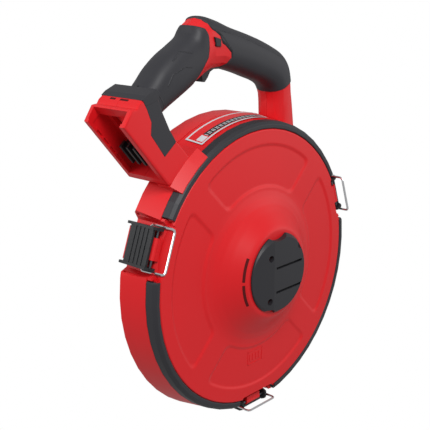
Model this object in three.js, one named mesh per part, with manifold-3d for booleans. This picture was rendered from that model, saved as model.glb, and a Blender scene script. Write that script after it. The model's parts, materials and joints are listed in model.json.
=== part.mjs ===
// A cordless pulling-tape reel: a round case holding a powered drum of steel tape,
// with a trigger handle over it that ends in the slide-in foot for a battery pack.
//
// Millimetres. +X points to the tape outlet, +Y to the rear, +Z up. Inside this file y is
// measured from the plane of the case's front edge; the exported group moves everything
// back, so that the origin lies on the drum's axis in the flat rear face.
import * as THREE from "three";
import { mergeVertices } from "three/addons/utils/BufferGeometryUtils.js";
import Module from "manifold-3d";

const wasm = await Module();
wasm.setup();

// ---------------------------------------------------------------- driving sizes
// Case
const coverRadius = 165; // edge of the round front cover
const caseDepth = 115; // front edge plane to the flat rear face
const rimDepth = 50; // front edge plane to the back of the rim
const saddleDepth = 75; // the same under the handle, where the rim is deeper
const rimStep = 10; // rim stands out past the cover where the bumper ends
const rimFlare = 5; // the rim grows by this from the bumper to its back
const wall = 3; // moulded walls of the case
const coverWall = 2.6;
const coverSkirt = 14; // depth of the cover's skirt
const skirtWall = 3.5;
const bumperDepth = 12.3;
const saddleStart = 32.5; // degrees, ends of the deeper part of the rim
const saddleEnd = 131.5;

// Cover's middle
const domeRadius = 84; // foot of the dome
const domeHeight = 26; // the knob's seat stands this far in front of the edge plane
const knobRadius = 48;
const knobHeight = 6.5;
const knobBore = 14; // hole in the dome that the knob's hub turns in

// Drum
const drumRadius = coverRadius - 9;
const drumFront = 6.5; // front face of the front flange
const flangeWall = 2.5;
const tapeWidth = 21.7; // width of the winding
const tapeInner = 112;
const tapeOuter = drumRadius - 6;
const spindleRadius = 8;
const bearingRadius = 15;
const bearingWidth = 8;

// Drive
const gearModule = 2;
const ringTeeth = 48;
const pinionTeeth = 8;
const gearWidth = 7;
const motorRadius = 24;
const gearboxRadius = 21;
const gearboxLength = 26;
const headMargin = 15; // power head's outline stands off the motor by this

// Handle
const handlePlane = 41; // depth of the handle's middle plane
const overmold = 2.4; // thickness of the soft rubber
const shellWall = 3.1;
const footFront = 10; // near wall of the battery foot
const footRear = 72.5;
const triggerWidth = 18;
const triggerTravel = 6;
const shuttleTravel = 3;

// Latches
const latchAngles = { left: 160, right: 20, bottom: 270 }; // degrees from +X towards +Z
const bailSwing = { left: 0, right: 35, bottom: 35 }; // degrees off the hooked place
const seatDistance = coverRadius + 2; // flat floor of a latch seat from the drum's axis
const seatHalfWidth = 26.6;
const seatSlope = 0.9; // the sides of a seat lean out by this per millimetre of height
const latchHalfGap = 11.5; // degrees, half of the bumper's gap at a latch
const leverHalfWidth = 23;
const leverLength = 34;
const wireRadius = 1.4;
const pinRadius = 1.5;

// Clearances
const fit = 0.3; // faces that touch
const slip = 0.35; // what slides or is lifted off
const running = 0.7; // what turns

const segments = 48;

// ---------------------------------------------------------------- colours
const red = { color: 0xd62e31, roughness: 0.42 };
const rubber = { color: 0x35353a, roughness: 0.75 };
const charcoal = { color: 0x37363a, roughness: 0.55 };
const black = { color: 0x1d1e21, roughness: 0.5 };
const steel = { color: 0xc8ccd0, roughness: 0.22, metalness: 1 };
const darkSteel = { color: 0x6b6e73, roughness: 0.4, metalness: 1 };
const grey = { color: 0x9a9ca0, roughness: 0.6 };
const green = { color: 0x1d5a3a, roughness: 0.5 };
const copper = { color: 0xb87344, roughness: 0.35, metalness: 1 };
const paper = { color: 0xc9ccd0, roughness: 0.4 };

// ---------------------------------------------------------------- helpers
const rad = (degrees) => (degrees * Math.PI) / 180;
const v2 = (x, y) => new THREE.Vector2(x, y);

// A closed geometry as a manifold solid.
function solid(geometry) {
  geometry.deleteAttribute("normal");
  geometry.deleteAttribute("uv");
  const merged = mergeVertices(geometry, 1e-4);
  const triVerts = new Uint32Array(merged.index.array);
  const vertProperties = new Float32Array(merged.attributes.position.array);
  return new wasm.Manifold(new wasm.Mesh({ numProp: 3, vertProperties, triVerts }));
}

// A profile of [radius, y] points turned about the drum's axis, listed outwards along the
// front, then to the back, then inwards.
function turned(profile, count = segments) {
  const points = profile.map(([r, y]) => v2(r, y));
  points.push(points[0].clone());
  return solid(new THREE.LatheGeometry(points, count));
}

// A plain ring or, with no inner radius, a disc.
function ring(outer, inner, y0, y1, count = segments) {
  if (inner > 0) return turned([[inner, y0], [outer, y0], [outer, y1], [inner, y1]], count);
  const points = [v2(0, y0), v2(outer, y0), v2(outer, y1), v2(0, y1)];
  return solid(new THREE.LatheGeometry(points, count));
}

// The same ring about an axis through x, z.
const ringAt = (x, z, ...sizes) => ring(...sizes).translate([x, 0, z]);

// An outline in the XZ plane, extruded from y0 to y1, with bevelled edges if asked.
function plate(shape, y0, y1, bevel = 0) {
  const settings = { depth: y1 - y0 - 2 * bevel, curveSegments: 12, bevelEnabled: bevel > 0 };
  if (bevel > 0) {
    settings.bevelSize = bevel;
    settings.bevelThickness = bevel;
    settings.bevelOffset = -bevel;
    settings.bevelSegments = 2;
  }
  const geometry = new THREE.ExtrudeGeometry(shape, settings);
  geometry.rotateX(Math.PI / 2);
  geometry.translate(0, y1 - bevel, 0);
  return solid(geometry);
}

const outline = (points) => new THREE.Shape(points.map(([x, z]) => v2(x, z)));

// The same outline with every side moved out by a distance.
function grown(points, distance) {
  const area = points.reduce((sum, [x, z], i) => {
    const [nextX, nextZ] = points[(i + 1) % points.length];
    return sum + x * nextZ - nextX * z;
  }, 0);
  const out = distance * Math.sign(area);
  return points.map(([x, z], i) => {
    const before = points.at(i - 1);
    const after = points[(i + 1) % points.length];
    const a = v2(x - before[0], z - before[1]).normalize();
    const b = v2(after[0] - x, after[1] - z).normalize();
    const normal = v2(a.y + b.y, -a.x - b.x).normalize();
    const stretch = out / Math.max(0.5, normal.dot(v2(a.y, -a.x)));
    return [x + normal.x * stretch, z + normal.y * stretch];
  });
}

// A slice of the space around the drum's axis between two angles, for cutting rings.
function sector(from, to, y0, y1, radius = 260) {
  const shape = new THREE.Shape();
  shape.moveTo(0, 0);
  shape.absarc(0, 0, radius, rad(from), rad(to), false);
  shape.lineTo(0, 0);
  return plate(shape, y0, y1);
}

function block(x0, x1, y0, y1, z0, z1) {
  const geometry = new THREE.BoxGeometry(x1 - x0, y1 - y0, z1 - z0);
  geometry.translate((x0 + x1) / 2, (y0 + y1) / 2, (z0 + z1) / 2);
  return solid(geometry);
}

// A round bar between two points.
function bar(from, to, radius, count = 12) {
  const a = new THREE.Vector3(...from);
  const b = new THREE.Vector3(...to);
  const geometry = new THREE.CylinderGeometry(radius, radius, a.distanceTo(b), count);
  const turn = new THREE.Quaternion();
  turn.setFromUnitVectors(new THREE.Vector3(0, 1, 0), b.clone().sub(a).normalize());
  geometry.applyQuaternion(turn);
  geometry.translate((a.x + b.x) / 2, (a.y + b.y) / 2, (a.z + b.z) / 2);
  return solid(geometry);
}

const join = (...solids) => solids.reduce((a, b) => a.add(b));
const cut = (body, ...tools) => tools.reduce((a, b) => a.subtract(b), body);

// Cuts between curved skins leave specks of no volume; this keeps every real body.
const withoutSpecks = (body) =>
  body.decompose().filter((piece) => Math.abs(piece.volume()) > 0.01).reduce((a, b) => a.add(b));

// Turns a solid that was drawn with its latch on +X to the latch's own angle.
const atAngle = (body, degrees) => body.rotate([0, -degrees, 0]);

const tool = new THREE.Group();
tool.position.y = -caseDepth;

function place(name, body, finish) {
  const { vertProperties, triVerts } = body.getMesh();
  const geometry = new THREE.BufferGeometry();
  geometry.setAttribute("position", new THREE.BufferAttribute(new Float32Array(vertProperties), 3));
  geometry.setIndex(new THREE.BufferAttribute(new Uint32Array(triVerts), 1));
  geometry.computeVertexNormals();
  const mesh = new THREE.Mesh(geometry, new THREE.MeshStandardMaterial(finish));
  mesh.name = name;
  tool.add(mesh);
}

// ---------------------------------------------------------------- sizes worked out
const lipInner = coverRadius + slip; // housing lip that the cover drops into
const lipOuter = lipInner + wall;
const lipFront = 2;
const rimFront = coverRadius + rimStep;
const rimBack = rimFront + rimFlare;
const rimFrontY = bumperDepth + fit;
const rearWallY = rimDepth - wall;
const flangeRearY = drumFront + flangeWall + fit + tapeWidth + fit; // front of the rear flange
const drumRearY = flangeRearY + flangeWall;
const ringPitch = (gearModule * ringTeeth) / 2;
const pinionPitch = (gearModule * pinionTeeth) / 2;
const motorZ = ringPitch - pinionPitch; // pinion and motor axis above the drum's axis
const gearFrontY = drumRearY + fit;
const gearboxFrontY = rimDepth + fit;
const motorFrontY = gearboxFrontY + gearboxLength + fit;
const headRadius = motorRadius + headMargin;
const knobFrontY = -domeHeight - fit - knobHeight;
const knobHubY = -domeHeight + coverWall + fit; // the knob's hub passes just through the dome
const drumFloor = tapeInner - fit; // drum barrel under the winding

// Radius of the rim's outside at a depth.
const rimAt = (y) => rimFront + (rimFlare * (y - rimFrontY)) / (rearWallY - rimFrontY);

// Latch geometry in the plane through the drum's axis: [y, distance from the axis].
const hinge = [10, seatDistance + 6.5];
const pivot = [hinge[0] + 10, hinge[1] + 2];
const hook = [-wireRadius - fit, coverRadius - 4.5];
const hookSlope = (pivot[1] - hook[1]) / (pivot[0] - hook[0]);

// ---------------------------------------------------------------- case
// Everything above a line that runs beside the bail's leg, over a seat's width.
function bailRelief(gap) {
  const drop = (wireRadius + gap) * Math.sqrt(1 + hookSlope ** 2);
  const start = hook[1] - drop;
  const at = (y) => start + hookSlope * (y - hook[0]);
  const side = outline([[at(-8), -8], [230, -8], [230, pivot[0]], [at(pivot[0]), pivot[0]]]);
  const half = seatHalfWidth + 1;
  const geometry = new THREE.ExtrudeGeometry(side, { depth: 2 * half, bevelEnabled: false });
  geometry.translate(0, 0, -half);
  return solid(geometry);
}

// The recess in the rim for one latch, drawn on +X.
function seatCut() {
  const top = 12;
  const lean = seatHalfWidth + seatSlope * top;
  const shape = outline([
    [seatDistance, -seatHalfWidth], [seatDistance + top, -lean], [seatDistance + 60, -lean],
    [seatDistance + 60, lean], [seatDistance + top, lean], [seatDistance, seatHalfWidth],
  ]);
  return plate(shape, -1, rimDepth + 20);
}

// The knuckle that carries a lever's pin, and the pad behind the lever.
function seatFittings() {
  const base = block(seatDistance - 0.5, hinge[1], hinge[0] - 2.7, hinge[0] + 2.7, -12, 12);
  const knuckle = bar([hinge[1], hinge[0], -12], [hinge[1], hinge[0], 12], 3.3);
  const padFront = hinge[0] + leverLength + 1;
  const padHalf = leverHalfWidth - 5;
  const pad = block(seatDistance - 0.5, seatDistance + 9, padFront, rimDepth, -padHalf, padHalf);
  return join(base, knuckle, pad);
}

const headShape = (radius) => {
  const shape = new THREE.Shape();
  shape.absarc(0, 0, radius, Math.PI, 2 * Math.PI, false);
  shape.absarc(0, motorZ, radius, 0, Math.PI, false);
  return shape;
};

const headBolts = [[-30, -28], [30, -28], [-33, motorZ + 20], [33, motorZ + 20]];

function rearHousing() {
  let body = turned([
    [lipInner, lipFront], [lipOuter, lipFront], [lipOuter, rimFrontY], [rimFront, rimFrontY],
    [rimBack, rearWallY], [rimBack - wall, rimDepth], [spindleRadius + fit, rimDepth],
    [spindleRadius + fit, rearWallY], [rimBack - wall, rearWallY],
    [rimFront - wall, rimFrontY + wall], [lipInner, rimFrontY + wall],
  ]);
  const saddle = ring(rimBack - 0.5, 126, rimDepth - 1, saddleDepth)
    .intersect(sector(saddleStart, saddleEnd, rimDepth - 2, saddleDepth + 1));
  const hollow = ring(rimBack - 0.5 - wall, 126 + wall, rearWallY - 1, saddleDepth - wall)
    .intersect(sector(saddleStart + 1.3, saddleEnd - 1.3, 0, saddleDepth));
  body = cut(body.add(saddle), hollow);
  for (const angle of Object.values(latchAngles)) {
    const backing = ring(rimFront - 1, seatDistance - 3.5, coverSkirt + 1, rearWallY + 1)
      .intersect(sector(-latchHalfGap - 1, latchHalfGap + 1, 0, rimDepth));
    const lipBack = ring(rimFront - 1, lipInner, 6, coverSkirt + 2)
      .intersect(sector(-latchHalfGap + 0.5, latchHalfGap - 0.5, 0, rimDepth));
    body = body.add(atAngle(join(backing, lipBack), angle));
    const front = block(150, 230, -2, 7, -seatHalfWidth - 6, seatHalfWidth + 6);
    body = cut(body, atAngle(seatCut(), angle), atAngle(bailRelief(0.8), angle), atAngle(front, angle));
    body = body.add(atAngle(seatFittings(), angle));
    body = cut(body, atAngle(pinHole(), angle));
  }
  const shaftHole = ringAt(0, motorZ, pinionPitch + 2, 0, rearWallY - 1, rimDepth + 1, 24);
  const bolts = headBolts.map(([x, z]) => ringAt(x, z, 1.8, 0, rearWallY - 1, rimDepth + 1, 8));
  return cut(body, shaftHole, tapePort(), ...bolts);
}

const pinHole = () => bar([hinge[1], hinge[0], -40], [hinge[1], hinge[0], 40], pinRadius + 0.2);

// The rear shell over the gearbox and motor: its flat back is the tool's rest face.
function motorCover() {
  const front = rimDepth + fit;
  let body = plate(headShape(headRadius + 7), front, caseDepth, 4);
  body = cut(body, plate(headShape(headRadius + 7 - wall), front - 1, caseDepth - wall));
  const bosses = headBolts.map(([x, z]) => ringAt(x, z, 5, 0, front, caseDepth - 1, 12));
  const counterbores = headBolts.map(([x, z]) => ringAt(x, z, 3.6, 0, front + 14, caseDepth + 1, 12));
  const holes = headBolts.map(([x, z]) => ringAt(x, z, 1.8, 0, front - 1, caseDepth, 8));
  body = cut(join(body, ...bosses), ...counterbores, ...holes);
  const slots = [];
  for (let i = -2; i <= 2; i += 1) {
    slots.push(block(i * 8 - 1.6, i * 8 + 1.6, caseDepth - 6, caseDepth + 1, motorZ - 12, motorZ + 12));
  }
  for (const side of [-1, 1]) {
    for (let i = 0; i < 3; i += 1) {
      const y = motorFrontY + 4 + i * 7;
      const x = side * (headRadius + 7);
      slots.push(block(x - 6, x + 6, y, y + 2.6, motorZ - 24, motorZ - 4));
    }
  }
  return cut(body, ...slots);
}

const headScrew = ([x, z]) =>
  join(
    ringAt(x, z, 3.2, 0, rimDepth + 14.6, rimDepth + 18, 12),
    ringAt(x, z, 1.5, 0, rearWallY - 4, rimDepth + 15, 8),
  );

// One stretch of the rubber bumper around the rim.
function bumper(from, to) {
  const inner = lipInner + 0.25;
  const body = turned([
    [inner, 0.6], [inner + 0.8, -0.4], [inner + 5, -0.4], [rimFront - 0.9, 3.4],
    [rimFront + 0.1, bumperDepth], [lipOuter + fit, bumperDepth], [lipOuter + fit, lipFront - fit],
    [inner, lipFront - fit],
  ]);
  return body.intersect(sector(from, to, -5, 30));
}

// ---------------------------------------------------------------- cover and knob
function frontCover() {
  const top = -domeHeight;
  const shoulder = knobRadius + 3;
  let body = turned([
    [knobBore, top], [shoulder, top], [shoulder + 3, top + 2], [domeRadius - 6, -3],
    [domeRadius + 5, 0], [coverRadius - 1.2, 0], [coverRadius, 1.2], [coverRadius, coverSkirt],
    [coverRadius - skirtWall, coverSkirt], [coverRadius - skirtWall, coverWall + 5],
    [coverRadius - skirtWall - 7, coverWall], [domeRadius + 5, coverWall],
    [domeRadius - 7, coverWall - 2.5], [shoulder + 2, top + 2 + coverWall],
    [shoulder - 1, top + coverWall], [knobBore, top + coverWall],
  ]);
  for (const angle of Object.values(latchAngles)) body = cut(body, atAngle(bailRelief(0.35), angle));
  // Two curved slots beside the knob.
  for (const [from, to] of [[150, 178], [182, 210]]) {
    const slot = ring(shoulder + 6, shoulder + 4, top - 5, top + 20).intersect(sector(from, to, -60, 60));
    body = cut(body, slot);
  }
  return body;
}

// A round knob with a finger scallop above and below its grip bar.
function lockKnob() {
  const back = -domeHeight - fit;
  let body = turned([
    [0, knobFrontY], [knobRadius - 4, knobFrontY], [knobRadius, back - 1.5], [knobRadius, back],
    [knobBore - 0.5, back], [knobBore - 0.5, knobHubY], [0, knobHubY],
  ], 40);
  const scallops = [[-3, 1, 27, 7], [-19, -1, 14, 4]].map(([x, side, radius, bite]) =>
    ringAt(x, side * (Math.sqrt(knobRadius ** 2 - x ** 2) + radius - bite), radius, 0,
      knobFrontY - 1, back + 1, 28));
  const slots = [8.5, -21].map((z) =>
    block(-9, knobRadius - 9, knobFrontY - 1, knobFrontY + 4, z - 1.5, z + 1.5));
  const holes = [[-18, 22], [-19, -30], [35, 27]].map(([x, z]) =>
    ringAt(x, z, 4, 0, knobFrontY - 1, back + 0.1, 12));
  // The left third of the face slopes back.
  const wedge = new THREE.ExtrudeGeometry(outline([
    [-60, knobFrontY - 1], [-13, knobFrontY - 1], [-13, knobFrontY], [-60, knobFrontY + 6.2],
  ]), { depth: 120, bevelEnabled: false });
  wedge.translate(0, 0, -60);
  return cut(body, ...scallops, ...slots, ...holes, solid(wedge));
}

// The bolt on the back of the knob that turns into the spindle's bore.
function knobBolt() {
  const start = knobHubY + fit;
  return join(
    ring(5.4, 0, start, drumFront + 14, 24),
    ring(knobBore + 3, 0, start, start + 2, 32),
  );
}

// ---------------------------------------------------------------- drum and drive
function drumHub() {
  return turned([
    [bearingRadius + slip, drumFront + 4], [bearingRadius + 5, drumFront + 4],
    [bearingRadius + 5, flangeRearY - 6], [drumFloor - 3, flangeRearY - 6],
    [drumFloor - 3, drumFront + flangeWall + fit], [drumFloor, drumFront + flangeWall + fit],
    [drumFloor, flangeRearY], [drumRadius, flangeRearY], [drumRadius, drumRearY],
    [bearingRadius + slip, drumRearY],
  ]);
}

function drumFrontFlange() {
  const body = ring(drumRadius, drumFloor - 12, drumFront, drumFront + flangeWall);
  const windows = [];
  for (let i = 0; i < 6; i += 1) {
    windows.push(ring(tapeOuter - 6, tapeInner + 6, 0, 20)
      .intersect(sector(i * 60 + 8, i * 60 + 52, -1, 21)));
  }
  return cut(body, ...windows);
}

const woundTape = () => ring(tapeOuter, tapeInner, drumFront + flangeWall + fit, flangeRearY - fit);

// One tooth outline per step: [radius, share of the pitch angle from the tooth's middle].
function toothed(teeth, profile, turn = 0) {
  const points = [];
  for (let i = 0; i < teeth; i += 1) {
    for (const [radius, share] of profile) {
      const angle = ((i + share) / teeth) * 2 * Math.PI + turn;
      points.push([radius * Math.cos(angle), radius * Math.sin(angle)]);
    }
  }
  return outline(points);
}

function ringGear() {
  const addendum = gearModule * 0.7;
  const hole = toothed(ringTeeth, [
    [ringPitch - addendum, -0.13], [ringPitch - addendum, 0.13],
    [ringPitch + gearModule * 0.95, 0.27], [ringPitch + gearModule * 0.95, 0.73],
  ], Math.PI / 2);
  const blank = ring(ringPitch + 9, 0, gearFrontY, gearFrontY + gearWidth);
  return cut(blank, plate(hole, gearFrontY - 1, gearFrontY + gearWidth + 1));
}

function drivePinion() {
  const addendum = gearModule * 0.7;
  const shape = toothed(pinionTeeth, [
    [pinionPitch + addendum, -0.1], [pinionPitch + addendum, 0.1],
    [pinionPitch - gearModule * 0.9, 0.25], [pinionPitch - gearModule * 0.9, 0.75],
  ], Math.PI / 2 + Math.PI / pinionTeeth);
  const gear = plate(shape, gearFrontY + 0.6, gearFrontY + gearWidth);
  return join(gear, ring(4, 0, gearFrontY + gearWidth - 1, gearboxFrontY + 10, 16)).translate([0, 0, motorZ]);
}

const spindle = () =>
  cut(
    join(
      ring(spindleRadius, 0, drumFront + 2, rimDepth + 6, 24),
      ring(bearingRadius - 3, 0, drumRearY + 1.2, rearWallY - fit, 24),
    ),
    ring(6, 0, 0, drumFront + 16, 16),
  );

const bearing = (y) => ring(bearingRadius, spindleRadius + fit, y, y + bearingWidth, 24);

const gearboxCase = () => {
  const bodyRing = ring(gearboxRadius, 0, gearboxFrontY, gearboxFrontY + gearboxLength, 28);
  const bore = ring(4 + running, 0, gearboxFrontY - 1, gearboxFrontY + 12, 20);
  const back = ring(2.5 + running, 0, gearboxFrontY + 16, gearboxFrontY + gearboxLength + 1, 16);
  return cut(bodyRing, bore, back).translate([0, 0, motorZ]);
};

const motorEndY = caseDepth - wall - 5;

const motorCan = () => {
  const can = ring(motorRadius, 0, motorFrontY, motorEndY, 28);
  const bore = ring(motorRadius - 2, 0, motorFrontY + 3, motorEndY - 8, 28);
  const shaft = ring(2.5 + running, 0, motorFrontY - 1, motorEndY - 5, 16);
  const vents = [0, 90].map((turn) =>
    block(-motorRadius - 1, motorRadius + 1, motorFrontY + 8, motorFrontY + 12, -3, 3).rotate([0, turn, 0]));
  return cut(can, bore, shaft, ...vents).translate([0, 0, motorZ]);
};

const motorRotor = () => {
  const core = ring(motorRadius - 5, 0, motorFrontY + 5, motorEndY - 10, 24);
  const shaft = ring(2.5, 0, motorFrontY - 8, motorEndY - 6, 12);
  return join(core, shaft).translate([0, 0, motorZ]);
};

// The power head's circuit board stands below the motor.
const controlBoard = () => block(-22, 22, rimDepth + 22, caseDepth - wall - 6, -22, -19);

// ---------------------------------------------------------------- handle
// Stations along the handle from the battery foot to the foot of the front column: the
// point of the outer edge, the point of the inner edge, and half the width.
const handleStations = [
  { outer: [-156, 221], inner: [-141, 188], half: 19.5 },
  { outer: [-145, 231], inner: [-125, 198], half: 20.5 },
  { outer: [-133, 243.5], inner: [-111, 205], half: 21.2 },
  { outer: [-117, 255.5], inner: [-94, 213.5], half: 21.8 },
  { outer: [-99.5, 265], inner: [-78.5, 222], half: 22 },
  { outer: [-85, 274], inner: [-69, 227], half: 22 },
  { outer: [-77, 285], inner: [-61, 231], half: 22 },
  { outer: [-65, 292.5], inner: [-51, 235], half: 22 },
  { outer: [-45, 288.5], inner: [-38, 236], half: 22 },
  { outer: [-20, 279.5], inner: [-23, 233], half: 22 },
  { outer: [8.5, 271], inner: [-1.5, 227], half: 22 },
  { outer: [32.5, 263], inner: [17.5, 220.5], half: 22 },
  { outer: [53.5, 254.5], inner: [37.5, 213.5], half: 22 },
  { outer: [70, 246], inner: [50.5, 206.5], half: 22 },
  { outer: [80.5, 235], inner: [57, 199], half: 22 },
  { outer: [86, 220], inner: [59.5, 191], half: 21.5 },
  { outer: [89, 203], inner: [59.5, 182], half: 21 },
  { outer: [93, 182], inner: [59.5, 172], half: 21 },
  { outer: [98, 150], inner: [59.5, 150], half: 21 },
];

const handleSides = 16;

// The handle as a round-cornered tube through its stations, drawn in by an inset. The
// rings of a cylinder are moved onto the stations.
function handleSolid(inset, extraEnd = 0) {
  const count = handleStations.length;
  const geometry = new THREE.CylinderGeometry(1, 1, 1, handleSides, count - 1);
  const position = geometry.attributes.position;
  const p = new THREE.Vector3();
  for (let i = 0; i < position.count; i += 1) {
    p.fromBufferAttribute(position, i);
    const row = Math.round((0.5 - p.y) * (count - 1));
    const station = handleStations[row];
    const outer = v2(...station.outer);
    const inner = v2(...station.inner);
    const middle = outer.clone().add(inner).multiplyScalar(0.5);
    const along = outer.clone().sub(inner).normalize();
    const height = outer.distanceTo(inner) / 2 - inset;
    const reach = Math.hypot(p.x, p.z) > 0.5 ? 1 : 0;
    const round = (value) => Math.sign(value) * Math.abs(value) ** 0.8;
    const a = Math.atan2(p.x, p.z);
    const up = reach * round(Math.cos(a)) * height;
    const side = reach * round(Math.sin(a)) * (station.half - inset);
    const sink = row === count - 1 ? extraEnd : 0;
    position.setXYZ(i, middle.x + along.x * up, handlePlane + side, middle.y + along.y * up - sink);
  }
  return solid(geometry);
}

// Regions of the XZ plane that the soft rubber covers.
const gripZone = [
  [-158, 260], [-139, 188], [-118, 190], [-86, 212], [-84, 226], [-80, 231], [-74, 240], [-67, 250],
  [-66, 262], [-66, 271], [-69, 278], [-77, 281], [-97, 286], [-105, 286],
];
const barZone = [
  [-66, 312], [-66, 290], [-57, 278], [-47.5, 271.5], [-45.5, 264],
  [-40.5, 261.5], [-30, 253], [-29, 247], [-33, 240], [-40, 235], [-40, 224], [10, 190], [20, 206], [26, 201], [36, 199], [52, 201], [66, 206],
  [82, 213], [100, 222], [112, 250], [70, 300],
];

function overmoldPart(zone, side) {
  const skin = cut(handleSolid(0), handleSolid(overmold));
  const half = side === "near" ? [0, handlePlane - 0.15] : [handlePlane + 0.15, 90];
  return skin.intersect(plate(outline(zone), ...half));
}

// The battery foot seen from the side, from the tip round to the rim.
const footPoints = [
  [-200, 192], [-189, 208], [-182, 208.5], [-179, 213], [-169, 219.5], [-155, 225],
  [-146, 201], [-136, 182], [-127, 169], [-110, 152], [-104, 144], [-108, 112], [-140.5, 124],
];
const footZone = [
  [-186, 238], [-176, 219], [-169, 207], [-163, 193], [-164, 180], [-145, 155], [-122, 173],
  [-118, 190], [-135, 215], [-140, 240],
];
const slotFrom = v2(-200, 192); // the battery's slide face runs from the tip to the rim
const slotTo = v2(-140.5, 124);
const slide = slotTo.clone().sub(slotFrom).normalize();
const inward = v2(-slide.y, slide.x);

// A box laid along the slide face: from a to b along it, from c to d into the foot.
function slotBox(a, b, c, d, y0, y1) {
  const at = (s, n) => {
    const p = slotFrom.clone().addScaledVector(slide, s).addScaledVector(inward, n);
    return [p.x, p.y];
  };
  return plate(outline([at(a, c), at(b, c), at(b, d), at(a, d)]), y0, y1);
}

const footLength = slotFrom.distanceTo(slotTo);
const footWall = 4.5;
const pocketDepth = 24;

function footSolid(inset) {
  return plate(outline(footPoints), footFront + inset, footRear - inset, 2.5);
}

function footPocket() {
  const y0 = footFront + footWall;
  const y1 = footRear - footWall;
  const mouth = slotBox(-16, footLength - 8, -12, 5, y0 + 3, y1 - 3); // open at the tip
  const room = slotBox(7, footLength - 8, 4.9, pocketDepth, y0, y1);
  const upper = slotBox(12, 44, pocketDepth - 0.1, pocketDepth + 6, y0 + 6, y1 - 6);
  const end = slotBox(-16, 13, 3.5, 17, y0 + 1.5, y1 - 1.5); // where the battery slides in
  const windows = [16, 29, 42, 55].map((from) =>
    slotBox(from, from + 10, 1.2, 3.8, y1 - 3.2, y1 - 1)); // in the far rail's edge
  return join(mouth, room, upper, end, ...windows);
}

// The boss at the handle's root that laps over the bumper.
const bossInner = rimFront - 2.2;
const bossOuter = rimBack + 4.5;
const rootBoss = (grow) =>
  turned([
    [bossInner - grow, 0.3 - grow], [bossInner + 1 + grow, 0.3 - grow],
    [bossOuter + grow, footFront - grow], [bossOuter + grow, 30], [bossInner - grow, 30],
  ]).intersect(sector(121.5 - grow / 3, 138.5 + grow / 3, -5, 40));

const triggerOutline = [
  [-64, 222.5], [-59.5, 222], [-55, 226.5], [-51, 232.5], [-45, 235], [-33, 234.5], [-36, 245],
  [-57, 246], [-67, 236],
];

const triggerTop = 246;
const switchFrom = triggerTop + triggerTravel + 1.5; // underside of the switch body

const triggerSolid = () =>
  plate(outline(triggerOutline), handlePlane - triggerWidth / 2, handlePlane + triggerWidth / 2);

// The slot reaches over the switch body and is wide enough for the slanted travel.
const triggerSlot = () => {
  const half = triggerWidth / 2 + slip;
  const top = switchFrom + 8.5;
  const shape = outline([[-66, 214], [-50, 216], [-29, 228], [-31, top], [-66, top], [-81, 244]]);
  return plate(shape, handlePlane - half, handlePlane + half);
};

const shuttleAt = [-54, 266.5];
const shuttleShape = (grow) => outline([
  [shuttleAt[0] - 5 - grow, shuttleAt[1] + 5 + grow], [shuttleAt[0] - 3 - grow, shuttleAt[1] - 5 - grow],
  [shuttleAt[0] + 5 + grow, shuttleAt[1] - 6 - grow], [shuttleAt[0] + 5 + grow, shuttleAt[1] + 2 + grow],
]);

// Both halves of the red handle shell in one piece, before they are parted.
function handleBody() {
  const tube = handleSolid(0, 0);
  const softZones = [gripZone, barZone].map((zone) => plate(outline(grown(zone, fit)), 0, 90));
  const core = handleSolid(overmold + fit, 2);
  const hollow = handleSolid(overmold + fit + shellWall, 4);
  const gripSpace = handleSolid(-fit).intersect(softZones[0]);
  const footSkin = cut(footSolid(-1), footSolid(overmold + fit))
    .intersect(plate(outline(grown(footZone, fit)), 0, 90));
  let body = join(cut(tube, ...softZones), core, cut(footSolid(0), gripSpace), rootBoss(0));
  body = cut(body, footSkin, hollow, footPocket(), triggerSlot());
  body = cut(body, plate(shuttleShape(slip), 0, 90));
  const rimKeepOut = join(
    ring(rimAt(rimFrontY) + fit, 0, rimFrontY - 0.4, rimFrontY + 0.1),
    turned([[0.01, rimFrontY], [rimFront + fit, rimFrontY], [rimBack + fit, rearWallY],
      [rimBack + fit, 90], [0.01, 90]]),
    ring(bossInner - 0.1, 0, -6, rimFrontY),
  );
  return cut(body, rimKeepOut);
}

const nearHalf = () => block(-300, 200, -20, handlePlane - 0.15, 0, 400);
const farHalf = () => block(-300, 200, handlePlane + 0.15, 120, 0, 400);

function footOvermold(half) {
  const skin = cut(footSolid(0), footSolid(overmold));
  const clear = handleSolid(-fit);
  return cut(skin.intersect(plate(outline(footZone), 0, 90)), clear).intersect(half);
}

// The black contact block at the lower end of the battery slot, and its three blades.
const terminalAt = { from: 49, to: 75, depth: pocketDepth - fit };

function terminalBlock() {
  const base = slotBox(terminalAt.from, terminalAt.to, terminalAt.depth - 9, terminalAt.depth,
    handlePlane - 17, handlePlane + 17);
  const ribs = [-15, -5, 5, 15].map((y) => slotBox(terminalAt.from - 4, terminalAt.to - 3,
    terminalAt.depth - 17, terminalAt.depth - 8, handlePlane + y - 1.6, handlePlane + y + 1.6));
  return join(base, ...ribs);
}

const terminalBlade = (offset) =>
  slotBox(terminalAt.from + 2, terminalAt.to - 6, terminalAt.depth - 15, terminalAt.depth - 9 - fit,
    handlePlane + offset - 0.5, handlePlane + offset + 0.5);

// The switch body sits behind the trigger with room for its travel and its spring.
const switchBody = () =>
  block(-62, -38, handlePlane - 8.5, handlePlane + 8.5, switchFrom, switchFrom + 5);

const triggerSpring = () =>
  bar([-50, handlePlane, triggerTop + fit], [-50, handlePlane, switchFrom - fit], 3, 10);

// Slid fully one way, the shuttle is still a little proud of the other side.
const shuttleHalf = 22 + shuttleTravel / 2;
const directionShuttle = () =>
  plate(shuttleShape(0), handlePlane - shuttleHalf, handlePlane + shuttleHalf);

const handleScrewPlaces = [[-30, 258], [25, 243], [79, 190]];

const handleScrew = ([x, z]) => ringAt(x, z, 2.6, 0, handlePlane + 19, handlePlane + 23.2, 12);

const screwRecess = ([x, z]) => ringAt(x, z, 3.2, 0, handlePlane + 18.7, handlePlane + 30, 12);

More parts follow.
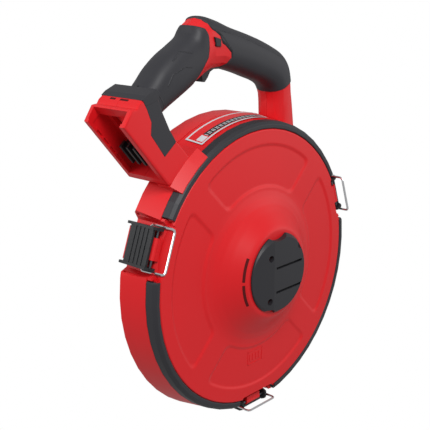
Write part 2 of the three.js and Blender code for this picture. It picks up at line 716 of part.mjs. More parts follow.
// ---------------------------------------------------------------- tape outlet
const outletZ = tapeOuter - 9; // the tape leaves level with the winding's top
const outletX = Math.sqrt(rimFront ** 2 - outletZ ** 2); // where the rim's front edge is that high
const outletY = drumFront + flangeWall + fit + tapeWidth / 2;
const outletHalf = 6; // half the height and depth of the square port in the rim

const tapePort = () => block(outletX - 18, outletX + 36, outletY - outletHalf, outletY + outletHalf,
  outletZ - outletHalf, outletZ + outletHalf);

// A wear-resistant liner pushed through the port, with a lip that rests on the rim.
function tapeGuide() {
  const liner = (size, x0, x1) =>
    block(x0, x1, outletY - size, outletY + size, outletZ - size, outletZ + size);
  const rim = (grow) => turned([[0.01, 0], [rimFront + grow, 0], [rimFront + grow, rimFrontY],
    [rimBack + grow, rearWallY], [0.01, rearWallY]]);
  const lip = cut(liner(outletHalf + 3, outletX - 24, outletX + 8).intersect(rim(2)), rim(fit));
  const sleeve = liner(outletHalf - fit, outletX - 7, outletX + 4).intersect(rim(2));
  return cut(join(lip, sleeve), liner(outletHalf - 2.2, outletX - 24, outletX + 36));
}

// ---------------------------------------------------------------- latches, drawn on +X
function latchLever() {
  const [hy, hd] = hinge;
  const top = hd + 7;
  const side = (y0, y1) => {
    const shape = outline([
      [hd - 5.4, hy - 1], [hd - 3.6, hy - 4.6], [hd + 2, hy - 5.4], [top - 1, hy - 4],
      [top + 1, hy], [top + 1, hy + leverLength + 5], [top - 3, hy + leverLength + 6],
      [top - 5, hy + leverLength], [hd - 2, hy + 16], [hd - 3.5, hy + 12], [hd - 5.4, hy + 3],
    ]);
    const geometry = new THREE.ExtrudeGeometry(shape, { depth: y1 - y0, bevelEnabled: false });
    geometry.translate(0, 0, y0);
    return solid(geometry);
  };
  const flange = 3;
  const deck = block(top - 3, top, hy + 0.2, hy + leverLength, -leverHalfWidth + 1, leverHalfWidth - 1);
  const ribs = [8, 14, 20, 26].map((y) =>
    block(top - 0.5, top + 0.8, hy + y - 1, hy + y + 1, -leverHalfWidth + 1, leverHalfWidth - 1));
  const body = join(side(-leverHalfWidth, -leverHalfWidth + flange),
    side(leverHalfWidth - flange, leverHalfWidth), deck, ...ribs);
  const bore = bar([hd, hy, -40], [hd, hy, 40], pinRadius + 0.25);
  const sockets = bar([pivot[1], pivot[0], -40], [pivot[1], pivot[0], 40], wireRadius + 0.25);
  return cut(body, bore, sockets);
}

const latchPin = () =>
  bar([hinge[1], hinge[0], -leverHalfWidth + 0.2], [hinge[1], hinge[0], leverHalfWidth - 0.2], pinRadius);

// The bail: one wire from its socket in the lever round the front and back. It is drawn
// hooked over the cover's edge and then swung out about its sockets, in degrees.
function latchBail(swing) {
  const half = leverHalfWidth + fit + wireRadius;
  const inner = leverHalfWidth - 3;
  const [py, pd] = pivot;
  const [hy, hd] = hook;
  const leg = (share, z) => new THREE.Vector3(pd + (hd - pd) * share, py + (hy - py) * share, z);
  const path = new THREE.CurvePath();
  const straight = (a, b) => path.add(new THREE.LineCurve3(a, b));
  const bend = (a, via, b) => path.add(new THREE.QuadraticBezierCurve3(a, via, b));
  straight(leg(0, inner), leg(0, half - 2));
  bend(leg(0, half - 2), leg(0, half), leg(0.09, half));
  straight(leg(0.09, half), leg(0.86, half));
  bend(leg(0.86, half), leg(1, half), leg(1, half - 4));
  straight(leg(1, half - 4), leg(1, 4 - half));
  bend(leg(1, 4 - half), leg(1, -half), leg(0.86, -half));
  straight(leg(0.86, -half), leg(0.09, -half));
  bend(leg(0.09, -half), leg(0, -half), leg(0, 2 - half));
  straight(leg(0, 2 - half), leg(0, -inner));
  const section = new THREE.Shape();
  section.absarc(0, 0, wireRadius, 0, 2 * Math.PI, false);
  const settings = { steps: 40, extrudePath: path, curveSegments: 3, bevelEnabled: false };
  const wire = solid(new THREE.ExtrudeGeometry(section, settings));
  return wire.translate([-pd, -py, 0]).rotate([0, 0, swing]).translate([pd, py, 0]);
}

// ---------------------------------------------------------------- label
function ratingLabel() {
  const [y0, y1] = [18, 42];
  const low = (y) => rimAt(y) + fit;
  const body = turned([[low(y0), y0], [low(y0) + 0.5, y0], [low(y1) + 0.5, y1], [low(y1), y1]]);
  return body.intersect(sector(79, 117, 0, 60));
}

// ---------------------------------------------------------------- the tool
place("rear_housing", rearHousing(), red);
place("motor_cover", motorCover(), charcoal);
headBolts.forEach((at, i) => place(`motor_cover_screw_${i + 1}`, headScrew(at), darkSteel));

const gap = latchHalfGap;
const topSide = cut(bumper(latchAngles.right + gap, latchAngles.left - gap), rootBoss(fit));
place("bumper_top", topSide, rubber);
place("bumper_left", bumper(latchAngles.left + gap, latchAngles.bottom - gap), rubber);
place("bumper_right", bumper(latchAngles.bottom + gap, latchAngles.right + 360 - gap), rubber);

place("front_cover", frontCover(), red);
place("lock_knob", lockKnob(), charcoal);
place("knob_bolt", knobBolt(), darkSteel);

place("drum_hub", drumHub(), charcoal);
place("drum_front_flange", drumFrontFlange(), charcoal);
place("wound_tape", woundTape(), steel);
place("ring_gear", ringGear(), grey);
place("drive_pinion", drivePinion(), darkSteel);
place("spindle", spindle(), darkSteel);
place("bearing_front", bearing(drumFront + 4), steel);
place("bearing_rear", bearing(drumRearY - bearingWidth), steel);
place("gearbox_case", gearboxCase(), darkSteel);
place("motor_can", motorCan(), darkSteel);
place("motor_rotor", motorRotor(), steel);
place("control_board", controlBoard(), green);

const shells = cut(handleBody(), ...handleScrewPlaces.map(screwRecess));
place("handle_shell_near", withoutSpecks(shells.intersect(nearHalf())), red);
place("handle_shell_far", withoutSpecks(shells.intersect(farHalf())), red);
const soft = {
  grip_overmold_near: overmoldPart(gripZone, "near"),
  grip_overmold_far: overmoldPart(gripZone, "far"),
  bar_overmold_near: overmoldPart(barZone, "near"),
  bar_overmold_far: overmoldPart(barZone, "far"),
  foot_overmold_near: footOvermold(nearHalf()),
  foot_overmold_far: footOvermold(farHalf()),
};
for (const [name, body] of Object.entries(soft)) {
  place(name, cut(body, triggerSlot(), ...handleScrewPlaces.map(screwRecess)), rubber);
}
handleScrewPlaces.forEach((at, i) => place(`handle_screw_${i + 1}`, handleScrew(at), darkSteel));

place("terminal_block", terminalBlock(), black);
[-10, 0, 10].forEach((offset, i) => place(`terminal_blade_${i + 1}`, terminalBlade(offset), copper));
place("trigger", triggerSolid(), black);
place("trigger_spring", triggerSpring(), steel);
place("trigger_switch", switchBody(), black);
place("direction_shuttle", directionShuttle(), black);

place("tape_guide", tapeGuide(), black);
place("rating_label", ratingLabel(), paper);

for (const [name, angle] of Object.entries(latchAngles)) {
  place(`latch_lever_${name}`, atAngle(latchLever(), angle), black);
  place(`latch_bail_${name}`, atAngle(latchBail(bailSwing[name]), angle), steel);
  place(`latch_pin_${name}`, atAngle(latchPin(), angle), darkSteel);
}

export default tool;
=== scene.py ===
# %% [markdown]
# # A powered pulling-tape reel
# The round case, its latches, the trigger handle and the battery foot are dressed over a
# fixed frame of CAD nodes. Lengths are metres. In this lesson *t* is the depth behind the
# plane of the cover's front edge, and the row frame's y is t less the case's depth.

# %%
import bpy
import bmesh
import json
import numpy as np
from mathutils import Matrix, Vector


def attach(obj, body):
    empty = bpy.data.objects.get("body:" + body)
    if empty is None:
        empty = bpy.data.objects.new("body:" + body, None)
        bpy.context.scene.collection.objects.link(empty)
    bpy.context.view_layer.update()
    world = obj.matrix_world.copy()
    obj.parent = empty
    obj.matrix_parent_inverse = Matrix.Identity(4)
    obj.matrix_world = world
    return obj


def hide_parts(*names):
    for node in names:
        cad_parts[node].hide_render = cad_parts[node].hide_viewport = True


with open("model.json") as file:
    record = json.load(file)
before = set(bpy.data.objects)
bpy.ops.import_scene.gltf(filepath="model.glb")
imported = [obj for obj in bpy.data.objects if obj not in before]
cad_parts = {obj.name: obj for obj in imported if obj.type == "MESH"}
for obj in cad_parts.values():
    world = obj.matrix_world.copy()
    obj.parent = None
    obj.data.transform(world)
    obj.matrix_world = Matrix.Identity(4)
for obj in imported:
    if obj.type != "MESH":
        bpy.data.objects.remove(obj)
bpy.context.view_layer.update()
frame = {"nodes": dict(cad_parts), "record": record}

DEPTH = 0.115  # front edge plane to the flat rear face
MM = 0.001

# %% [markdown]
# ## Shader groups
# Each group returns only a mask or a normal, so that every material can share it.

# %%
def group(name, inputs, outputs):
    """A new shader group with its sockets; returns (tree, input node, output node)."""
    tree = bpy.data.node_groups.new(name, "ShaderNodeTree")
    for label, kind, value in inputs:
        socket = tree.interface.new_socket(label, in_out="INPUT", socket_type=kind)
        if value is not None:
            socket.default_value = value
    for label, kind in outputs:
        tree.interface.new_socket(label, in_out="OUTPUT", socket_type=kind)
    return tree, tree.nodes.new("NodeGroupInput"), tree.nodes.new("NodeGroupOutput")


def node(tree, kind, **values):
    """A node with its properties set."""
    made = tree.nodes.new(kind)
    for key, value in values.items():
        setattr(made, key, value)
    return made


def grain_group():
    """Moulded grain: normal = bump(noise at `scale`) at `strength`, over a fixed distance in
    metres.
    """
    tree, inside, outside = group(
        "moulded grain",
        [("scale", "NodeSocketFloat", 900.0), ("strength", "NodeSocketFloat", 0.1)],
        [("normal", "NodeSocketVector"), ("mottle", "NodeSocketFloat")])
    place = node(tree, "ShaderNodeTexCoord")
    fine = node(tree, "ShaderNodeTexNoise")
    fine.inputs["Detail"].default_value = 3
    broad = node(tree, "ShaderNodeTexNoise")
    broad.inputs["Scale"].default_value = 14
    broad.inputs["Detail"].default_value = 4
    bump = node(tree, "ShaderNodeBump")
    bump.inputs["Distance"].default_value = 0.0002
    link = tree.links.new
    link(place.outputs["Object"], fine.inputs["Vector"])
    link(place.outputs["Object"], broad.inputs["Vector"])
    link(inside.outputs["scale"], fine.inputs["Scale"])
    link(inside.outputs["strength"], bump.inputs["Strength"])
    link(fine.outputs["Fac"], bump.inputs["Height"])
    link(bump.outputs["Normal"], outside.inputs["normal"])
    link(broad.outputs["Fac"], outside.inputs["mottle"])
    return tree


GRAIN = grain_group()


def plastic(name, colour, roughness, grain=(900.0, 0.1), spread=0.06, metallic=0.0, coat=0.0):
    """Colour times (1 - spread + 2 spread mottle), with the moulded grain as its normal."""
    made = bpy.data.materials.new(name)
    made.use_nodes = True
    tree = made.node_tree
    shader = tree.nodes["Principled BSDF"]
    shader.inputs["Roughness"].default_value = roughness
    shader.inputs["Metallic"].default_value = metallic
    shader.inputs["Coat Weight"].default_value = coat
    shader.inputs["Coat Roughness"].default_value = 0.2
    shader.inputs["Specular IOR Level"].default_value = 0.35
    detail = node(tree, "ShaderNodeGroup", node_tree=GRAIN)
    detail.inputs["scale"].default_value = grain[0]
    detail.inputs["strength"].default_value = grain[1]
    mix = node(tree, "ShaderNodeMix", data_type="RGBA")
    mix.inputs["A"].default_value = [c * (1 - spread) for c in colour] + [1]
    mix.inputs["B"].default_value = [min(1, c * (1 + spread)) for c in colour] + [1]
    tree.links.new(detail.outputs["mottle"], mix.inputs["Factor"])
    tree.links.new(mix.outputs["Result"], shader.inputs["Base Color"])
    tree.links.new(detail.outputs["normal"], shader.inputs["Normal"])
    return made


RED = (0.66, 0.008, 0.012)
red = plastic("red plastic", RED, 0.42, grain=(1400, 0.05), spread=0.03)
rubber = plastic("black rubber", (0.026, 0.026, 0.031), 0.5, grain=(1500, 0.35), spread=0.12)
charcoal = plastic("charcoal plastic", (0.022, 0.022, 0.026), 0.45, grain=(1300, 0.2))
black = plastic("black plastic", (0.011, 0.012, 0.014), 0.42, grain=(1200, 0.15))
chrome = plastic("chrome wire", (0.82, 0.83, 0.85), 0.12, spread=0.02, metallic=1.0)
bright = plastic("bright steel", (0.55, 0.57, 0.6), 0.28, spread=0.08, metallic=1.0)
dark = plastic("dark steel", (0.13, 0.135, 0.15), 0.38, spread=0.1, metallic=1.0)
grey = plastic("grey plastic", (0.3, 0.31, 0.32), 0.5)
board = plastic("board green", (0.012, 0.09, 0.035), 0.4)
copper = plastic("copper", (0.48, 0.19, 0.07), 0.3, metallic=1.0)
print("materials:", len(bpy.data.materials))

# %% [markdown]
# ## Helpers for surfaces

# %%
def to_object(name, points, faces, material, smooth_angle=35.0):
    """A mesh object from arrays, shaded smooth except across edges over smooth_angle."""
    mesh = bpy.data.meshes.new(name)
    mesh.from_pydata(np.asarray(points).tolist(), [], np.asarray(faces).tolist())
    mesh.update()
    mesh.shade_smooth()
    mesh.set_sharp_from_angle(angle=np.radians(smooth_angle))
    mesh.materials.append(material)
    made = bpy.data.objects.new(name, mesh)
    bpy.context.collection.objects.link(made)
    return made


def grid_faces(rows, columns, close_rows, close_columns):
    """Quads (i, j), (i+1, j), (i+1, j+1), (i, j+1) of a grid, wrapped where it closes."""
    i = np.arange(rows if close_rows else rows - 1)
    j = np.arange(columns if close_columns else columns - 1)
    i, j = [a.ravel() for a in np.meshgrid(i, j, indexing="ij")]
    up, over = (i + 1) % rows, (j + 1) % columns
    return np.stack([i * columns + j, i * columns + over,
                     up * columns + over, up * columns + j], 1)


def spun(angle, radius, t):
    """Row-frame points at polar angle (radians), radius and depth t, both in mm."""
    x, z = radius * np.cos(angle), radius * np.sin(angle)
    return np.stack(np.broadcast_arrays(x * MM, t * MM - DEPTH, z * MM), -1)


def refine(name, material, width=0.4, angle=28.0, segments=2):
    """A copy of a CAD node with soft edges, riding where the node rides, in its stead."""
    source = frame["nodes"][name]
    mesh = source.data.copy()
    work = bmesh.new()
    work.from_mesh(mesh)
    bmesh.ops.remove_doubles(work, verts=work.verts, dist=2e-6)
    bmesh.ops.dissolve_limit(work, angle_limit=np.radians(0.5), verts=work.verts, edges=work.edges)
    work.to_mesh(mesh)
    work.free()
    mesh.materials.clear()
    mesh.materials.append(material)
    made = bpy.data.objects.new(name + "_finish", mesh)
    bpy.context.collection.objects.link(made)
    mesh.shade_smooth()
    mesh.set_sharp_from_angle(angle=np.radians(angle))
    if width > 0:
        bevel = made.modifiers.new("soft edges", "BEVEL")
        bevel.width = width * MM
        bevel.segments = segments
        bevel.limit_method = "ANGLE"
        bevel.angle_limit = np.radians(angle)
        bevel.miter_outer = "MITER_ARC"
        flatten = made.modifiers.new("flat faces stay flat", "WEIGHTED_NORMAL")
        flatten.keep_sharp = True
    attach(made, body_name(name))
    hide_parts(name)
    return made


BODIES = frame["record"]["behaviour"]["bodies"]


def body_name(part):
    """The CAD body that holds a node."""
    return next(body for body, parts in BODIES.items() if part in parts)


# %% [markdown]
# ## CAD nodes that only need soft edges and a finish

# %%
FINISHES = {
    "rear_housing": (red, 0.6), "motor_cover": (red, 1.0),
    "bumper_top": (rubber, 0.7), "bumper_left": (rubber, 0.7), "bumper_right": (rubber, 0.7),
    "handle_shell_near": (red, 0.6), "handle_shell_far": (red, 0.6),
    "lock_knob": (charcoal, 0.6),
    "trigger": (black, 0.8), "direction_shuttle": (black, 0.5),
    "terminal_block": (black, 0.3), "tape_guide": (black, 0.3), "trigger_switch": (black, 0.2),
    "latch_lever_left": (black, 0.5), "latch_lever_right": (black, 0.5),
    "latch_lever_bottom": (black, 0.5),
    "latch_bail_left": (chrome, 0), "latch_bail_right": (chrome, 0),
    "latch_bail_bottom": (chrome, 0),
}
for part, (finish, soft) in FINISHES.items():
    refine(part, finish, soft)

PLAIN = {
    dark: ["motor_cover_screw_1", "motor_cover_screw_2", "motor_cover_screw_3",
           "motor_cover_screw_4", "handle_screw_1", "handle_screw_2", "handle_screw_3",
           "knob_bolt", "drive_pinion", "spindle", "gearbox_case", "motor_can",
           "latch_pin_left", "latch_pin_right", "latch_pin_bottom"],
    bright: ["wound_tape", "bearing_front", "bearing_rear", "motor_rotor", "trigger_spring"],
    charcoal: ["drum_hub", "drum_front_flange"],
    rubber: ["foot_overmold_near", "foot_overmold_far"],
    grey: ["ring_gear"],
    board: ["control_board"],
    copper: ["terminal_blade_1", "terminal_blade_2", "terminal_blade_3"],
}
for finish, parts in PLAIN.items():
    for part in parts:
        for place in frame["nodes"][part].material_slots:
            place.material = finish

# %% [markdown]
# ## The cover
# A closed surface of revolution: out along the front, over the rim, down the skirt and back
# along the inside. Four recessed panels lie between four diagonal ribs, and the edge is
# relieved where a latch's wire comes over it.

# %%
def smooth(x):
    """3x^2 - 2x^3 between 0 and 1."""
    x = np.clip(x, 0, 1)
    return x * x * (3 - 2 * x)


def soft_max(a, b, k):
    """The larger of a and b, rounded over a length k where they meet."""
    gap = np.clip(0.5 + 0.5 * (a - b) / k, 0, 1)
    return b + (a - b) * gap + k * gap * (1 - gap)


COVER_RADIUS = 165
EDGE_ROUND = 1.6  # rounding where the front turns into the skirt
LATCH_ANGLES = [160, 20, 270]  # left, right and bottom, in degrees
LATCH_HALF = 28.5  # half width of the relief under a latch's wire
RIB_HALF = 14.5  # half width of a diagonal rib
PANEL_INNER, PANEL_OUTER, PANEL_DEPTH = 96, 149, 1.5


def panel_recess(angle, radius):
    """PANEL_DEPTH inside a panel: a ring sector pared by two ribs, with rounded corners."""
    across = np.abs(radius * np.sin((angle - np.pi / 4 + np.pi / 4) % (np.pi / 2) - np.pi / 4))
    outside = soft_max(PANEL_INNER - radius, radius - PANEL_OUTER, 4)
    outside = soft_max(outside, RIB_HALF - across, 9)
    return PANEL_DEPTH * smooth(-outside / 4.5)


ARC = 720
turn = np.arange(ARC) * 2 * np.pi / ARC
front_r = np.concatenate([np.linspace(14, 50, 6), np.linspace(51, COVER_RADIUS - EDGE_ROUND, 150)])
front_t = np.interp(front_r, [14, 51, 53, 56, 62, 70, 78, 86, 93, 100, 160, 163.4],
                    [-26, -26, -25.6, -23.6, -18.6, -12.0, -6.4, -2.7, -1.0, -0.6, 0, 0.0])
kernel = np.hanning(9) / np.hanning(9).sum()
front_t[10:-6] = np.convolve(front_t, kernel, mode="same")[10:-6]
edge_a = np.linspace(0, np.pi / 2, 7)[1:]
edge_r = COVER_RADIUS - EDGE_ROUND + EDGE_ROUND * np.sin(edge_a)
edge_t = EDGE_ROUND - EDGE_ROUND * np.cos(edge_a)
skirt_r = np.array([165, 165, 164.6, 162, 161.5, 161.5, 156, 150, 100, 90, 74, 60, 52, 49, 14])
skirt_t = np.array([6, 13.6, 14, 14, 13.6, 8, 3.6, 2.8, 2.6, 2.5, -3, -15, -22, -23.4, -23.4])
rings_r = np.concatenate([front_r, edge_r, skirt_r])
rings_t = np.concatenate([front_t, edge_t, skirt_t])
cover_a, cover_r = np.meshgrid(turn, rings_r)
cover_t = np.repeat(rings_t[:, None], ARC, 1)
on_front = np.arange(len(rings_r))[:, None] < len(front_r)
cover_t = cover_t + np.where(on_front, panel_recess(cover_a, cover_r), 0)
for latch in np.radians(LATCH_ANGLES):
    local_x = cover_r * np.cos(cover_a - latch)
    local_z = cover_r * np.sin(cover_a - latch)
    limit = 158.3 + 0.691 * (cover_t + 1.7)  # the line beside the wire's leg
    beside = smooth(LATCH_HALF - np.abs(local_z))
    local_x = np.where(local_x > limit, local_x + (limit - local_x) * beside, local_x)
    cover_a, cover_r = np.arctan2(local_z, local_x) + latch, np.hypot(local_x, local_z)
points = spun(cover_a, cover_r, cover_t)
cover = to_object("cover_skin", points.reshape(-1, 3),
                  grid_faces(len(rings_r), ARC, True, True), red, 40)
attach(cover, "cover")
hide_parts("front_cover")
print("cover:", len(cover.data.polygons), "faces")


def slab(name, corners, t0, t1, material, body, bevel=0.25):
    """A prism: corners (x, z) in mm, from depth t0 to t1, with bevelled edges."""
    corners = np.asarray(corners, float)
    if np.sum(corners[:, 0] * np.roll(corners[:, 1], -1)
              - corners[:, 1] * np.roll(corners[:, 0], -1)) < 0:
        corners = corners[::-1]
    n = len(corners)
    ends = [np.column_stack([corners[:, 0], np.full(n, t), corners[:, 1]]) for t in (t0, t1)]
    pts = np.concatenate(ends) * MM - [0, DEPTH, 0]
    mesh = bpy.data.meshes.new(name)
    sides = [[i, (i + 1) % n, n + (i + 1) % n, n + i] for i in range(n)]
    mesh.from_pydata(pts.tolist(), [], [list(range(n)), list(range(2 * n - 1, n - 1, -1))]
                     + [side[::-1] for side in sides])
    mesh.materials.append(material)
    made = bpy.data.objects.new(name, mesh)
    bpy.context.collection.objects.link(made)
    if bevel > 0:
        edge = made.modifiers.new("soft edges", "BEVEL")
        edge.width = bevel * MM
        edge.segments = 2
    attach(made, body)
    return made


# The soft cap along the top of the foot, with two short vents below its edge drawn as dark slabs
# of painted shadow.
slab("foot_cap", [(-174.6, 216.5), (-169.2, 220.3), (-155, 225.9), (-150, 221), (-154, 214),
                  (-170.8, 210)], 9.7, 72.3, rubber, "base", 0.5)
vent = plastic("shadow in a vent", (0.05, 0.002, 0.003), 0.9)
for k, (t0, t1) in enumerate([(29, 41), (48, 56)]):
    slab(f"foot_vent_shadow_{k + 1}", [(-177.6, 214.1), (-175.4, 215.5), (-174.8, 214.6),
                                (-177.0, 213.2)], t0, t1, vent, "base", 0)

# A small raised frame with plain blocks in it, low on the cover, and the two curved slots drawn as
# dark strips of painted shadow.
for k, (x0, x1, z0, z1) in enumerate([
        (-19, 8, -104, -103), (-19, 8, -120, -119), (-19, -18, -120, -103), (7, 8, -120, -103),
        (-15.5, -12.5, -116, -107), (-10, -7, -116, -107), (-4.5, -1.5, -116, -107),
        (1, 4, -116, -107)]):
    slab(f"date_mark_{k + 1}", [(x0, z0), (x1, z0), (x1, z1), (x0, z1)],
         PANEL_DEPTH - 0.9, PANEL_DEPTH + 0.6, red, "cover", 0.12)
shade = plastic("shadow in a slot", (0.09, 0.002, 0.003), 0.9)
for k, (a0, a1) in enumerate([(150, 178), (182, 210)]):
    sweep = np.radians(np.linspace(a0, a1, 25))
    r_lo, r_hi = 55.6, 57.8
    strip = [spun(sweep, np.full(25, r), np.interp(r, [55, 58], [-24.9, -22.35]) + sink)
             for r, sink in ((r_lo, 0.9), (r_lo, -0.12), (r_hi, -0.12), (r_hi, 0.9))]
    slot_shadow_piece = to_object(f"cover_slot_shadow_{k + 1}", np.concatenate(strip),
                           grid_faces(4, 25, True, False), shade)
    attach(slot_shadow_piece, "cover")

# %% [markdown]
# ## The soft skins of the handle
# One tube follows the handle's stations. Inside a zone it stands just proud of the red
# shell, and outside the zones it dips under it, so the rubber's edge is where they cross.

# %%
STATIONS = np.array([
    [-156, 221, -141, 188, 19.5], [-145, 231, -125, 198, 20.5], [-133, 243.5, -111, 205, 21.2],
    [-117, 255.5, -94, 213.5, 21.8], [-99.5, 265, -78.5, 222, 22], [-85, 274, -69, 227, 22],
    [-77, 285, -61, 231, 22], [-65, 292.5, -51, 235, 22], [-45, 288.5, -38, 236, 22],
    [-20, 279.5, -23, 233, 22], [8.5, 271, -1.5, 227, 22], [32.5, 263, 17.5, 220.5, 22],
    [53.5, 254.5, 37.5, 213.5, 22], [70, 246, 50.5, 206.5, 22], [80.5, 235, 57, 199, 22],
    [86, 220, 59.5, 191, 21.5], [89, 203, 59.5, 182, 21], [93, 182, 59.5, 172, 21]])
HANDLE_T = 41  # depth of the handle's middle plane
PROUD = 0.45  # how far the rubber stands over the red shell
DIP = 3.3  # how far it falls on its way out of a zone
DIP_FROM, DIP_OVER = 0.9, 1.6  # the fall starts inside the zone's edge and takes this long


def catmull(points, count):
    """A Catmull-Rom curve through the rows of `points`, at `count` even parameters."""
    u = np.linspace(0, len(points) - 1.000001, count)
    i = u.astype(int)
    f = (u - i)[:, None]
    last = len(points) - 1
    a, b, c, d = [points[np.clip(i + k, 0, last)] for k in (-1, 0, 1, 2)]
    return 0.5 * (2 * b + (c - a) * f + (2 * a - 5 * b + 4 * c - d) * f ** 2
                  + (3 * b - a - 3 * c + d) * f ** 3)


def to_polygon(p, polygon):
    """Signed distance in mm from points p (n, 2) to a polygon: negative inside."""
    a, b = polygon, np.roll(polygon, -1, 0)
    ab = b - a
    ap = p[:, None, :] - a[None]
    share = np.clip((ap * ab).sum(-1) / (ab * ab).sum(-1), 0, 1)
    away = np.linalg.norm(ap - share[..., None] * ab, axis=-1).min(1)
    crosses = (a[None, :, 1] > p[:, None, 1]) != (b[None, :, 1] > p[:, None, 1])
    with np.errstate(divide="ignore", invalid="ignore"):
        x = a[None, :, 0] + (p[:, None, 1] - a[None, :, 1]) * ab[:, 0] / ab[:, 1]
    inside = (crosses & (p[:, None, 0] < x)).sum(1) % 2 == 1
    return np.where(inside, -away, away)


def to_lines(p, lines):
    """Distance in mm from points p (n, 2) to the nearest of several open lines."""
    best = np.full(len(p), 99.0)
    for line in lines:
        line = np.asarray(line, float)
        a, ab = line[:-1], np.diff(line, axis=0)
        ap = p[:, None, :] - a[None]
        share = np.clip((ap * ab).sum(-1) / (ab * ab).sum(-1), 0, 1)
        best = np.minimum(best, np.linalg.norm(ap - share[..., None] * ab, axis=-1).min(1))
    return best


GRIP = np.array([[-180, 262], [-168, 186], [-118, 190], [-86, 212], [-84, 226], [-80, 231],
                 [-74, 240], [-67, 250], [-66, 262], [-66, 274], [-69, 281], [-77, 284],
                 [-97, 289], [-105, 289]], float)
BAR = np.array([[-70, 312], [-70, 300], [-67, 289], [-60, 279], [-49, 272.5], [-46.5, 266],
                [-41, 261.5], [-30, 253], [-29, 247], [-33, 240], [-40, 235], [-40, 224],
                [10, 190], [20, 202], [27, 197], [36, 195], [52, 197], [66, 203], [82, 211],
                [100, 220], [112, 250], [70, 300]], float)
GROOVES = [
    [(-92, 256), (-105, 258), (-117, 249)],
    [(-92, 241), (-104, 243), (-121, 236), (-129, 225)],
    [(-56, 279), (-15, 270), (29, 254), (74, 236)],
    [(-52, 277), (-47, 273), (-33, 259), (-29, 255)],
    [(-168, 233), (-149, 223), (-139, 214), (-132, 202)],
]

ROWS, ROUND = 460, 150
spine = catmull(STATIONS, ROWS)
outer, inner, half = spine[:, 0:2], spine[:, 2:4], spine[:, 4]
around = np.arange(ROUND) * 2 * np.pi / ROUND
power = lambda v: np.sign(v) * np.abs(v) ** 0.8


def tube(inset):
    """middle + along * round(cos a) * height, and the half width * round(sin a) in depth."""
    axis = outer - inner
    length = np.linalg.norm(axis, axis=1)
    along = axis / length[:, None]
    middle = (outer + inner) / 2
    rise = power(np.cos(around))[None] * (length[:, None] / 2 - inset)
    aside = power(np.sin(around))[None] * (half[:, None] - inset)
    x = middle[:, 0:1] + along[:, 0:1] * rise
    z = middle[:, 1:2] + along[:, 1:2] * rise
    return x, HANDLE_T + aside, z


x, t, z = tube(np.zeros((ROWS, ROUND)))
flat = np.column_stack([x.ravel(), z.ravel()])
zone = np.minimum(to_polygon(flat, GRIP), to_polygon(flat, BAR))
zone = zone.reshape(ROWS, ROUND)
x, t, z = tube(-PROUD + DIP * smooth((zone + DIP_FROM) / DIP_OVER))
skin = to_object("handle_rubber", np.stack([x * MM, t * MM - DEPTH, z * MM], -1).reshape(-1, 3),
                 grid_faces(ROWS, ROUND, False, True), rubber, 60)
groove = skin.data.attributes.new("groove", "FLOAT", "POINT")
groove.data.foreach_set("value", to_lines(flat, GROOVES).astype(np.float32))
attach(skin, "base")
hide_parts("grip_overmold_near", "grip_overmold_far", "bar_overmold_near",
            "bar_overmold_far")
print("handle rubber:", len(skin.data.polygons), "faces")

skin_rubber = rubber.copy()
skin_rubber.name = "grip rubber"
tree = skin_rubber.node_tree
line = node(tree, "ShaderNodeAttribute", attribute_name="groove")
depth = node(tree, "ShaderNodeMapRange", interpolation_type="SMOOTHSTEP")
depth.inputs["From Max"].default_value = 0.9
cut = node(tree, "ShaderNodeBump")
cut.inputs["Strength"].default_value = 1.0
cut.inputs["Distance"].default_value = 0.0006
tree.links.new(line.outputs["Fac"], depth.inputs["Value"])
tree.links.new(depth.outputs["Result"], cut.inputs["Height"])
detail = next(n for n in tree.nodes if n.type == "GROUP")
tree.links.new(detail.outputs["normal"], cut.inputs["Normal"])
tree.links.new(cut.outputs["Normal"], tree.nodes["Principled BSDF"].inputs["Normal"])
skin.data.materials[0] = skin_rubber

# %% [markdown]
# ## The label
# A plate round the rim in polar coordinates: u runs round it and v runs back, both in mm.

# %%
RIM_FRONT, RIM_BACK = 175, 180  # the rim's radius at its front edge and its back edge
RIM_FROM, RIM_TO = 12.6, 47  # depths of those two edges
LABEL_LIFT = 0.62  # the plate's face over the rim
LABEL_FROM, LABEL_TO = 79, 117  # degrees round the rim
LABEL_FRONT, LABEL_BACK = 18, 42  # depths
label_u = np.linspace(np.radians(LABEL_FROM), np.radians(LABEL_TO), 90)
label_v = np.linspace(LABEL_FRONT, LABEL_BACK, 12)
grid_u, grid_v = np.meshgrid(label_u, label_v)
rim_r = RIM_FRONT + (RIM_BACK - RIM_FRONT) * (grid_v - RIM_FROM) / (RIM_TO - RIM_FROM)
plate = to_object("label_plate", spun(grid_u, rim_r + LABEL_LIFT, grid_v).reshape(-1, 3),
                  grid_faces(12, 90, False, False)[:, ::-1], red, 40)
for name, values in (("label_u", (np.degrees(grid_u) - 98) / 19), ("label_v", (grid_v - 30) / 12)):
    made = plate.data.attributes.new(name, "FLOAT", "POINT")
    made.data.foreach_set("value", values.ravel().astype(np.float32))
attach(plate, "base")
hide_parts("rating_label")


def band_group():
    """1 where |value - centre| < half, else 0."""
    tree, inside, outside = group(
        "band", [("value", "NodeSocketFloat", 0.0), ("centre", "NodeSocketFloat", 0.0),
                 ("half", "NodeSocketFloat", 0.1)], [("mask", "NodeSocketFloat")])
    away = node(tree, "ShaderNodeMath", operation="SUBTRACT")
    size = node(tree, "ShaderNodeMath", operation="ABSOLUTE")
    less = node(tree, "ShaderNodeMath", operation="LESS_THAN")
    tree.links.new(inside.outputs["value"], away.inputs[0])
    tree.links.new(inside.outputs["centre"], away.inputs[1])
    tree.links.new(away.outputs[0], size.inputs[0])
    tree.links.new(size.outputs[0], less.inputs[0])
    tree.links.new(inside.outputs["half"], less.inputs[1])
    tree.links.new(less.outputs[0], outside.inputs["mask"])
    return tree


